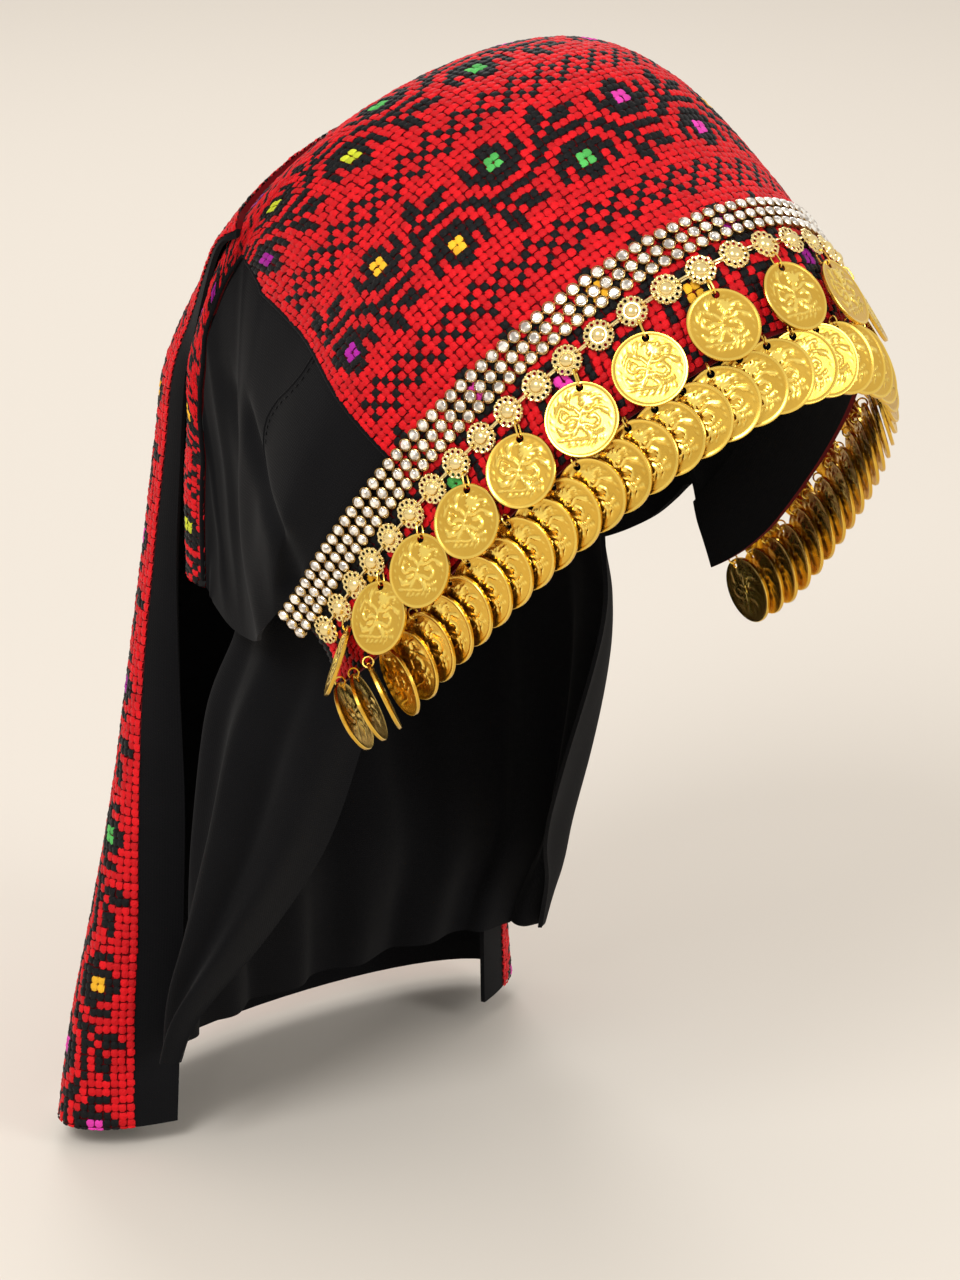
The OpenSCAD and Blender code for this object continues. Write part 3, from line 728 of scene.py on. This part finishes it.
# fine creases of the soft cloth, running from the fold down to the hem
f, g = np.meshgrid(*[np.linspace(0, 1, n) for n in sideOuter.shape[:2]], indexing="ij")
crease = 0.5 * np.sin(34 * f + 5 * g) * np.sin(9 * f - 7 * g) * np.sin(np.pi * g) * ease((f - 0.1) / 0.2)
sideOuter = sideOuter + (crease - 0.15)[..., None] * sideN
sunk = sum(valley(sideOuter, *fold) for fold in sidePanel["folds"])
sideOuter = sideOuter - sunk[..., None] * sideN
seamLine, seamN = lineOn(sideOuter, sidePanel["seam"]), lineOn(sideN, sidePanel["seam"])
seamBeside = unit(np.cross(seamN, unit(np.gradient(seamLine, axis=0))))
stitchLine = seamLine + sidePanel["stitchBeside"] * seamBeside + sidePanel["stitchLift"] * seamN
for side, flip in (("right", 1), ("left", -1)):
    # the pressed seam, and the stitches that hold it down beside it
    mirror = np.array([flip, 1, 1])
    row = stitchLine * mirror
    ridge = merged([tube(seamLine * mirror, sidePanel["seamRadius"], 6)]
                   + [tube(row[n:n + 3], sidePanel["stitchRadius"], 5) for n in range(1, 56, 4)])
    makePiece("side_seam_" + side, ridge, [blackCord], uv=ridge["verts"][:, 1:] / 1000)
for side, flip in (("right", 1), ("left", -1)):
    # the right one's columns are reversed, because the mirror turns the left one round
    grid, normals = sideOuter[:, ::-flip] * [flip, 1, 1], sideN[:, ::-flip] * [flip, 1, 1]
    clothPiece("side_panel_cloth_" + side, grid, normals, cloth["black"], [blackCotton], "black_cloth",
               "side_" + side, (0.125, 0.225), "hung", ["crown_ground_cloth"])

veil = {
    # height, half width, half depth, middle y, angle of the front edge, fold depth
    "rows": np.array([[-112, 60, 54.6, 47, 122, 0.3], [-132, 62, 54, 46, 126, 0.8],
                      [-150, 66, 55, 47, 129, 1.6], [-175, 73, 55, 55, 132, 2.8],
                      [-215, 78, 43, 64, 133, 3.2], [-250, 82, 30, 72, 124, 3.0],
                      [-277, 85, 26, 78, 102, 2.8], [-292, 86, 25, 81, 94, 2.6]], float),
    "folds": 9,
}
# ellipse arcs, one under the other, their radii drawn in by a cosine for the folds
height, wide, deep, middleY, frontAngle, foldDeep = np.moveaxis(
    curveRow(veil["rows"], np.linspace(0, len(veil["rows"]) - 1, 61))[:, None], -1, 0)
share = np.linspace(-1, 1, 181)[None]
a = np.radians(frontAngle * share)
fold = foldDeep * (np.cos(np.radians(180 * veil["folds"] * share)) - 1)
fold = fold + 0.25 * np.sin(70 * share + 3 * height / 60) * foldDeep / 3
veilGrid = np.stack([(wide + fold) * np.sin(a), middleY + (deep + fold) * np.cos(a), height + 0 * a], -1)
clothPiece("veil_cloth", veilGrid, gridNormals(veilGrid), cloth["black"], [blackVeil], "black_cloth",
           "veil", (0.3, 0.2), "hung", ["crown_ground_cloth"])
print("black cloth made")

trim = {"stones": 97, "pitch": 4.25, "row": 3.9, "middle": 12, "turn": 190, "lean": (0, 0.64, -0.77),
        "cup": 1.92, "stone": 1.66, "link": 0.36}


def trimPlace(s, u):
    # place and axes of each stone: on the cloth, and past the turn straight along the lean
    v = np.clip(u, -trim["turn"], trim["turn"])
    p, t, n = spot(s, v)[:3]
    hangs = np.abs(u) > trim["turn"]
    lean = unit(np.array(trim["lean"], float))
    p = p + (np.abs(u) - np.abs(v))[:, None] * lean
    t = np.where(hangs[:, None], np.sign(u)[:, None] * lean, t)
    n = unit(n - np.sum(n * t, 1, keepdims=True) * t)
    return p, np.stack([t, np.cross(n, t), n], 1)


def facetRing(radius, height, turn=np.pi / 8):
    # eight points of a stone's facets on a circle
    a = np.arange(8) * np.pi / 4 + turn
    return np.stack([radius * np.cos(a), radius * np.sin(a), np.full(8, height)], -1)


cupShape = lathe([(0, 0.35), (1.35, 0.35), (trim["cup"], 0.8), (trim["cup"], 1.95), (trim["cup"] - 0.2, 2.1),
                  (trim["stone"] - 0.05, 1.9), (1.2, 1.6), (0, 1.6)], 14)
# a cut stone: flat table, a star of facets round it, more facets to the girdle, and a point below
n8 = np.arange(8)
after8 = (n8 + 1) % 8
stonePoints = np.vstack([facetRing(0.85, 2.85, 0), facetRing(1.28, 2.55), facetRing(trim["stone"], 2.05),
                         [[0, 0, 1.7]]])
stoneFacets = [(n8, 8 + n8, after8), (after8, 8 + n8, 8 + after8), (8 + n8, 16 + n8, 8 + after8),
               (16 + n8, 16 + after8, 8 + after8), (np.full(8, 24), 16 + after8, 16 + n8)]
stoneShape = shape(stonePoints, [n8[None]] + [np.stack(f, -1) for f in stoneFacets], mat=1)
barShape = tube([[-0.75, 0, 1.0], [0.75, 0, 1.0]], trim["link"], 6, mat=2)
trimParts = []
trimU = (np.arange(trim["stones"]) - trim["stones"] // 2) * trim["pitch"]
for line in (-1, 0, 1):
    s = np.full(len(trimU), trim["middle"] + line * trim["row"])
    places = trimPlace(s, trimU)
    trimParts += [repeated(cupShape, *places), repeated(stoneShape, *places)]
    trimParts.append(repeated(barShape, *trimPlace(s[:-1], trimU[:-1] + trim["pitch"] / 2)))
makePiece("stone_trim_cups_and_stones", merged(trimParts), [cupGilt, stoneGlass, linkCopper],
          ["stone_trim"], sharp=24)

rosette = {"count": 35, "pitch": 11.4, "lift": 2.1, "radius": 4.65, "petals": 12, "petalWire": 0.4,
           # from its middle to the links, the radius of a link's round end, and every link's wire
           "eye": 3.5, "linkEnd": 1.1, "linkWire": 0.6,
           # circles of beads: radius and height
           "beads": ((2.75, 0.25), (4.3, 0.1))}


def rosetteShape():
    # petal loops standing round a domed boss, with two circles of beads between them
    w = rosette
    petals = np.arange(w["petals"]) * 2 * np.pi / w["petals"]
    aside = np.stack([np.cos(petals), np.sin(petals), 0 * petals], -1)
    axes = np.stack([aside, np.stack([-aside[:, 1], aside[:, 0], 0 * petals], -1),
                     np.tile([0, 0, 1.0], (len(petals), 1))], 1)
    loop = moved(ringShape(0.82, w["petalWire"], 12, 5), scale=(1.08, 1, 1.35))
    half = petals + np.pi / w["petals"]
    beads = lathe([(0, -0.3), (0.3, 0), (0, 0.34)], 6)
    beadAt = np.stack([np.cos(half), np.sin(half), 0 * half], -1)
    boss = [(0, -0.35), (2.35, -0.3), (2.4, 0.1), (2.2, 0.5), (2.0, 0.9), (1.65, 1.35), (1.0, 1.75), (0, 1.9)]
    return merged([
        repeated(loop, aside * (w["radius"] - 1.15), axes),
        *[repeated(beads, beadAt * r + [0, 0, z], axes) for r, z in w["beads"]],
        moved(ringShape(2.3, 0.3, 24, 6), (0, 0, 0.35)),
        lathe(boss, 18),
    ])


def linkBetween(p, q, n, r):
    # an oval link from p to q, in the plane of their line and n: two half circles of
    # radius r with straight sides between them
    x, length = unit(q - p), np.linalg.norm(q - p)
    y = unit(np.cross(n, x))
    r = min(r, length / 2 - 0.1)
    t = np.linspace(-np.pi / 2, np.pi / 2, 7)
    right = np.stack([length / 2 - r + r * np.cos(t), 0 * t, r * np.sin(t)], -1)
    link = tube(np.vstack([right, -right]), rosette["linkWire"] / 2, 6, closed=True, guide=(0, 1, 0))
    return placedAt(link, (p + q) / 2, x, y, np.cross(x, y))


rosetteU = (np.arange(rosette["count"]) - rosette["count"] // 2) * rosette["pitch"]
rosetteP, rosetteT, rosetteN, rosetteD = spot(0 * rosetteU, rosetteU)
rosetteP = rosetteP + rosette["lift"] * rosetteN
oneRosette = rosetteShape()
axes = np.stack([rosetteT, -rosetteD, rosetteN], 1)
# each side's first rosette, the one after its last, and its first link; link 17 joins the two sides
for name, first, after, firstLink in (("right", 0, 18, 0), ("left", 18, 35, 17)):
    parts = [repeated(oneRosette, rosetteP[first:after], axes[first:after])]
    for i in range(firstLink, after - 1):
        parts.append(linkBetween(rosetteP[i] + rosette["eye"] * rosetteT[i],
                                 rosetteP[i + 1] - rosette["eye"] * rosetteT[i + 1],
                                 rosetteN[i] + rosetteN[i + 1], rosette["linkEnd"]))
    s = merged(parts)
    makePiece("filigree_rosettes_" + name, s, [rosetteGilt], ["rosettes_" + name], sharp=55,
              values={"height": np.full(len(s["verts"]), 0.7)})
print("trim and rosettes made")

coin = {"radius": 11, "thick": 1.1, "rim": 0.9, "field": 0.15, "eye": 9.2, "hang": 0.3, "hole": 1.2,
        "relief": 0.44, "backRelief": 0.352, "rings": 20, "spokes": 80}


def strokes():
    # a flowering sprig over a ground line, as round-topped strokes:
    # x and y of both ends, radius and height
    lines = []

    def curve(points, radius, height, taper):
        # short strokes along a smooth line through the points, thinning by the taper
        pts = curveRow(np.array(points, float), np.linspace(0, len(points) - 1, 4 * len(points) - 3))
        for n, (a, b) in enumerate(zip(pts, pts[1:])):
            lines.append((*a, *b, radius * (1 - taper * n / len(pts)), height))

    def ray(x, y, angle, start, end, radius, height):
        # a stroke along an angle, between two distances from a point
        c, s = np.cos(np.radians(angle)), np.sin(np.radians(angle))
        lines.append((x + start * c, y + start * s, x + end * c, y + end * s, radius, height))

    # stem and curling leaves
    curve([(-2.6, -4.6), (-1.4, -2.4), (-0.6, 0.0), (0.2, 2.2), (1.8, 4.2)], 0.55, 0.8, 0.3)
    curve([(-1.2, -2.0), (1.4, -1.6), (3.6, -2.4), (5.2, -1.0), (4.4, 0.6), (3.2, 0.2)], 0.62, 0.9, 0.5)
    curve([(-0.6, 0.0), (-3.0, 0.6), (-4.8, -0.6), (-6.2, 0.8), (-5.4, 2.6), (-4.0, 2.0)], 0.62, 0.9, 0.5)
    curve([(0.2, 2.2), (2.6, 2.0), (4.6, 3.2), (6.4, 2.6)], 0.6, 0.85, 0.6)
    curve([(-0.2, 1.2), (-1.8, 3.0), (-3.6, 4.2), (-3.6, 6.0)], 0.5, 0.8, 0.4)
    curve([(-1.4, -2.4), (-3.4, -3.8), (-5.8, -3.4), (-7.0, -2.0)], 0.5, 0.8, 0.4)
    curve([(-0.8, -1.0), (1.6, -3.6), (4.4, -4.2), (6.6, -3.2)], 0.5, 0.8, 0.4)
    curve([(3.0, 4.8), (4.6, 6.2), (6.0, 5.6), (5.8, 4.4)], 0.45, 0.85, 0.4)
    curve([(-3.2, 3.6), (-5.4, 4.8), (-7.0, 3.8), (-7.4, 2.0)], 0.45, 0.8, 0.4)
    curve([(1.2, 6.6), (-0.4, 7.8), (-2.0, 7.2)], 0.42, 0.8, 0.4)
    # the flower's eight petals and its middle
    for angle in range(15, 375, 45):
        ray(1.9, 5.2, angle, 0.8, 1.9, 0.55, 1.0)
    ray(1.9, 5.2, 0, 0, 0.01, 0.7, 1.0)
    # buds
    for x, y, angle in ((-3.6, 6.6, 70), (6.9, 2.2, -30), (-2.6, -1.4, 200), (1.8, -3.6, -60),
                        (-4.6, -3.2, 215), (2.6, 0.6, 20)):
        ray(x, y, angle, 0, 1.2, 0.75, 0.9)
    # ground line, ticks under it, and dots round the rim
    lines.append((-7.2, -5.6, 7.2, -5.6, 0.28, 0.7))
    for x in (-3.6, -1.8, 0.0, 1.8, 3.6):
        lines.append((x - 0.4, -7.4, x + 0.4, -6.6, 0.3, 0.6))
    for angle in range(0, 360, 15):
        if not 205 < angle < 335:
            c, s = np.cos(np.radians(angle)), np.sin(np.radians(angle))
            lines.append((8.9 * c, 8.9 * s, 8.91 * c, 8.9 * s, 0.33, 0.55))
    return np.array(lines)


def reliefAt(x, y):
    # highest of the strokes over each point, with rounded tops
    lines = strokes()
    p = np.stack([x, y], -1)[..., None, :]
    a, b = lines[:, :2], lines[:, 2:4]
    along = np.clip(((p - a) * (b - a)).sum(-1) / np.maximum(((b - a) ** 2).sum(-1), 1e-9), 0, 1)
    gap = np.linalg.norm(p - a - along[..., None] * (b - a), axis=-1)
    return (lines[:, 5] * np.sqrt(np.clip(1 - (gap / lines[:, 4]) ** 2, 0, 1))).max(-1)


def rawObject(name, s):
    # an object of a shape in millimetres, for the boolean alone
    mesh = bpy.data.meshes.new(name)
    mesh.from_pydata(s["verts"].tolist(), [], [f for a in s["faces"] for f in a.tolist()])
    made = newObject(name, mesh)
    bpy.context.view_layer.update()
    return made


def coinShape():
    # polar grid of each face with the relief on it, a raised rim, and the hole cut by a
    # boolean; the back has half as many rings and spokes, and its relief is lower
    w = coin
    n = w["spokes"]
    turn = np.linspace(0, 2 * np.pi, n + 1)[:-1]
    inner, half = w["radius"] - w["rim"], w["thick"] / 2
    radii = np.append(np.linspace(0.3, inner - 0.35, w["rings"]),
                      [inner, inner + 0.25, w["radius"] - 0.2, w["radius"]])
    base = np.append(np.full(w["rings"], half - w["field"]),
                     [half - w["field"] * 0.9, half, half, half - 0.2])
    x, y = radii[:, None] * np.cos(turn), radii[:, None] * np.sin(turn)
    fade = ease((inner - 0.3 - radii) / 0.5)[:, None]
    top = np.stack([x, y, base[:, None] + w["relief"] * reliefAt(x, y) * fade], -1)
    rows, m = len(radii), n // 2
    backRings = np.append(np.arange(0, rows - 1, 2), rows - 1)
    low = np.stack([x, y, -(base[:, None] + w["backRelief"] * reliefAt(-x, y) * fade)], -1)[backRings, ::2]
    verts = np.vstack([[[0, 0, top[0, :, 2].mean()]], top.reshape(-1, 3),
                       [[0, 0, low[0, :, 2].mean()]], low.reshape(-1, 3)])
    k, j = np.arange(n), np.arange(m)
    start = 1 + rows * n
    fan = np.stack([np.zeros(n, int), 1 + k, 1 + (k + 1) % n], -1)
    fanLow = np.stack([np.full(m, start), start + 1 + (j + 1) % m, start + 1 + j], -1)
    upper = (gridFaces(rows, n, wrap=True) + 1)[:, ::-1]
    lower = gridFaces(len(low), m, wrap=True) + start + 1
    lastTop, lastLow = 1 + (rows - 1) * n, start + 1 + (len(low) - 1) * m
    between, after = lastTop + (2 * j + 1) % n, lastLow + (j + 1) % m
    side = [np.stack([lastTop + 2 * j, lastLow + j, between], -1),
            np.stack([between, lastLow + j, after], -1),
            np.stack([between, after, lastTop + (2 * j + 2) % n], -1)]
    drill = lathe([(0, -2), (w["hole"], -2), (w["hole"], 2), (0, 2)], 20)
    holder = rawObject("coinBlank", shape(verts, [fan, upper, fanLow, lower] + side))
    cutter = rawObject("coinDrill", moved(drill, (0, w["eye"], 0)))
    cut = holder.modifiers.new("hole", "BOOLEAN")
    cut.operation, cut.object, cut.solver = "DIFFERENCE", cutter, "EXACT"
    done = holder.evaluated_get(bpy.context.evaluated_depsgraph_get()).to_mesh()
    done.calc_loop_triangles()
    co = np.zeros(len(done.vertices) * 3)
    done.vertices.foreach_get("co", co)
    tri = np.zeros(len(done.loop_triangles) * 3, int)
    done.loop_triangles.foreach_get("vertices", tri)
    for o in (holder, cutter):
        data = o.data
        bpy.data.objects.remove(o)
        bpy.data.meshes.remove(data)
    return shape(co.reshape(-1, 3), tri.reshape(-1, 3))


def hangPlace(s, u):
    # the band's point, along, outward and down at one place
    return [x[0] for x in spot(np.array([s]), np.array([u]))]


def coinFrame(f, stand, plumb, lean, turn):
    # the coin's middle, its x, up and normal, and the way down, as it hangs from a point
    # that stands off the band at the place f
    point, n, down = f[0], f[2], f[3]
    d = unit(down * (1 - plumb) + np.array([0, 0, -plumb]) + lean * n)
    n0 = unit(n - np.dot(n, d) * d)
    a = np.radians(turn)
    normal = n0 * np.cos(a) - np.cross(-d, n0) * np.sin(a)
    return point + stand * n + (coin["eye"] + coin["hang"]) * d, np.cross(-d, normal), -d, normal, d


oneCoin = coinShape()
# 0 on the field and 1 on the highest relief, for the finish
coinHeight = np.clip((np.abs(oneCoin["verts"][:, 2]) - 0.38) / 0.3, 0, 1)
print("coin", sum(len(f) for f in oneCoin["faces"]), "triangles")


def coinPiece(name, parts, node):
    # coins keep their relief heights, wires count as raised
    sizes = [len(p["verts"]) for p in parts]
    high = [coinHeight if size == len(coinHeight) else np.full(size, 0.6) for size in sizes]
    makePiece(name, merged(parts), [coinGilt], [node], sharp=40,
              values={"height": np.concatenate(high)})


hung = {
    "count": 17, "behind": -8.2, "stand": 3, "plumb": 0.75, "lean": 0.34, "linkEnd": 1.4,
    # round the brow's middle they hang a little higher and lean out more
    "browAt": 5, "browWidth": 60, "browUp": 1.2, "browLean": 0.14,
    # stand, lean and turn of the coin at the chain's right end
    "first": (3.6, 0.65, 34),
}
for n in range(1, hung["count"] + 1):
    number = 2 * n - 1
    u = rosetteU[number]
    near = np.exp(-((u - hung["browAt"]) / hung["browWidth"]) ** 2)
    f = hangPlace(hung["behind"] + hung["browUp"] * near, u)
    stand, lean, turn = hung["stand"], hung["lean"] + hung["browLean"] * near, 0
    if n == 1:
        stand, lean, turn = hung["first"]
    c = coinFrame(f, stand, hung["plumb"], lean, turn)
    link = linkBetween(rosetteP[number] + rosette["eye"] * rosetteD[number],
                       c[0] - (coin["eye"] + coin["hang"]) * c[4], rosetteN[number] + c[3], hung["linkEnd"])
    coinPiece("hung_coin_%02d" % n, [placedAt(oneCoin, *c[:4]), link], "coin_%02d" % n)

hemCoin = {
    "count": 44, "pitch": 9.1, "inFront": 2.3, "stand": 2.6, "plumb": 0.28, "ring": 1.6,
    # length along the band, and how far a coin there is turned from facing out
    "turns": np.array([[-200, 52], [-184, 48], [-174, 38], [-165, 15], [-120, 11.2], [-60, 11.4], [-20, 14.6],
                       [20, 17.4], [60, 14.6], [150, 12.4], [172, 16], [200, 17]]),
}
half = hemCoin["count"] // 2
for name, first in (("right", 0), ("left", half)):
    parts = []
    for i in range(first, first + half):
        u = (i - (hemCoin["count"] - 1) / 2) * hemCoin["pitch"]
        f = hangPlace(hemLine(u) - hemCoin["inFront"], u)
        c = coinFrame(f, hemCoin["stand"], hemCoin["plumb"], 0, np.interp(u, *hemCoin["turns"].T))
        ringAt = c[0] - (coin["eye"] + coin["hang"] + hemCoin["ring"]) * c[4]
        ring = placedAt(ringShape(hemCoin["ring"], 0.3, 16, 6), ringAt, c[4], c[3], np.cross(c[4], c[3]))
        parts += [placedAt(oneCoin, *c[:4]), ring]
    coinPiece("hem_coins_and_rings_" + name, parts, "hem_coins_" + name)
print("coins made")

piping = {"firstRow": 1.36, "lastRow": 8.85, "radius": 0.75, "lift": 0.3}
q = np.linspace(piping["firstRow"], piping["lastRow"], 240)
for name, side in (("right", -1), ("left", 1)):
    edge = hoodPoint(q, side * crownEdge(q)) + piping["lift"] * crownNormal(q, side * crownEdge(q))
    pipe = tube(edge, piping["radius"], 8)
    makePiece("edge_piping_" + name, pipe, [blackCord], uv=pipe["verts"][:, :2] / 1000)
print("piping made")

studio = {
    "floorHeight": -0.33, "floorHalf": 9, "floorColour": "#d5cec4", "worldColour": "#f3eee8", "world": 0.92,
    # each lamp's place, aim, width and power
    "keyLight": ((-1.5, -0.6, 1.3), (0, 0, -0.05), 0.9, 28),
    "frontLight": ((0.4, -1.8, 0.7), (0, 0, -0.05), 0.8, 11),
    "backLight": ((0.9, 1.4, 1.1), (0, 0, -0.1), 0.9, 10),
}
# matt painted board, plain and pale
floorPaint = newMaterial("paleFloor", Roughness=0.8, Base_Color=linear(studio["floorColour"]))[0]
corners = np.array([(-1, -1, 0), (1, -1, 0), (1, 1, 0), (-1, 1, 0)]) * studio["floorHalf"]
floorMesh = bpy.data.meshes.new("floor")
floorMesh.from_pydata((corners + [0, 0, studio["floorHeight"]]).tolist(), [], [(0, 1, 2, 3)])
floorMesh.materials.append(floorPaint)
newObject("floor", floorMesh)

world = bpy.data.worlds.new("studio")
bpy.context.scene.world = world
world.use_nodes = True
feed(world.node_tree, world.node_tree.nodes["Background"],
     {"Color": linear(studio["worldColour"]), "Strength": studio["world"]})


def turned(x, y, z, at):
    # matrix with three axes and a place as its columns
    m = np.eye(4)
    m[:3] = np.stack([x, y, z, at], 1)
    return Matrix(m.tolist())


for name in ("keyLight", "frontLight", "backLight"):
    at, aim, width, power = studio[name]
    lamp = bpy.data.lights.new(name, "AREA")
    lamp.shape, lamp.size, lamp.energy = "DISK", width, power
    # a lamp shines along its own -z
    z = unit(np.array(at) - np.array(aim))
    x = unit(np.cross([0, 0, 1.0], z))
    newObject(name, lamp).matrix_world = turned(x, np.cross(z, x), z, at)

# plain sRGB view, so that the hex colours show as they are
bpy.context.scene.view_settings.view_transform = "Standard"

# place in millimetres, turn and tilt in radians, focal length in pixels of a frame 1280 high
view = {"place": (-916.8, -988.8, 335.7), "turn": -0.7594, "tilt": 0.3128, "focal": 4567.1, "frame": 1280,
        "shiftX": -0.0763, "shiftY": -0.1076, "sensor": 24}
camera = newObject("camera", bpy.data.cameras.new("camera"))
bpy.context.scene.camera = camera
az, el = view["turn"], view["tilt"]
right = np.array([np.cos(az), np.sin(az), 0])
toward = np.array([np.sin(az) * np.cos(el), -np.cos(az) * np.cos(el), np.sin(el)])
camera.matrix_world = turned(right, np.cross(toward, right), toward, np.array(view["place"]) / 1000)
camera.data.sensor_fit = "VERTICAL"
camera.data.sensor_height = view["sensor"]
camera.data.lens = view["focal"] / view["frame"] * view["sensor"]
camera.data.shift_x, camera.data.shift_y = view["shiftX"], view["shiftY"]
camera.data.clip_end = 50
print("floor, lights and camera made")
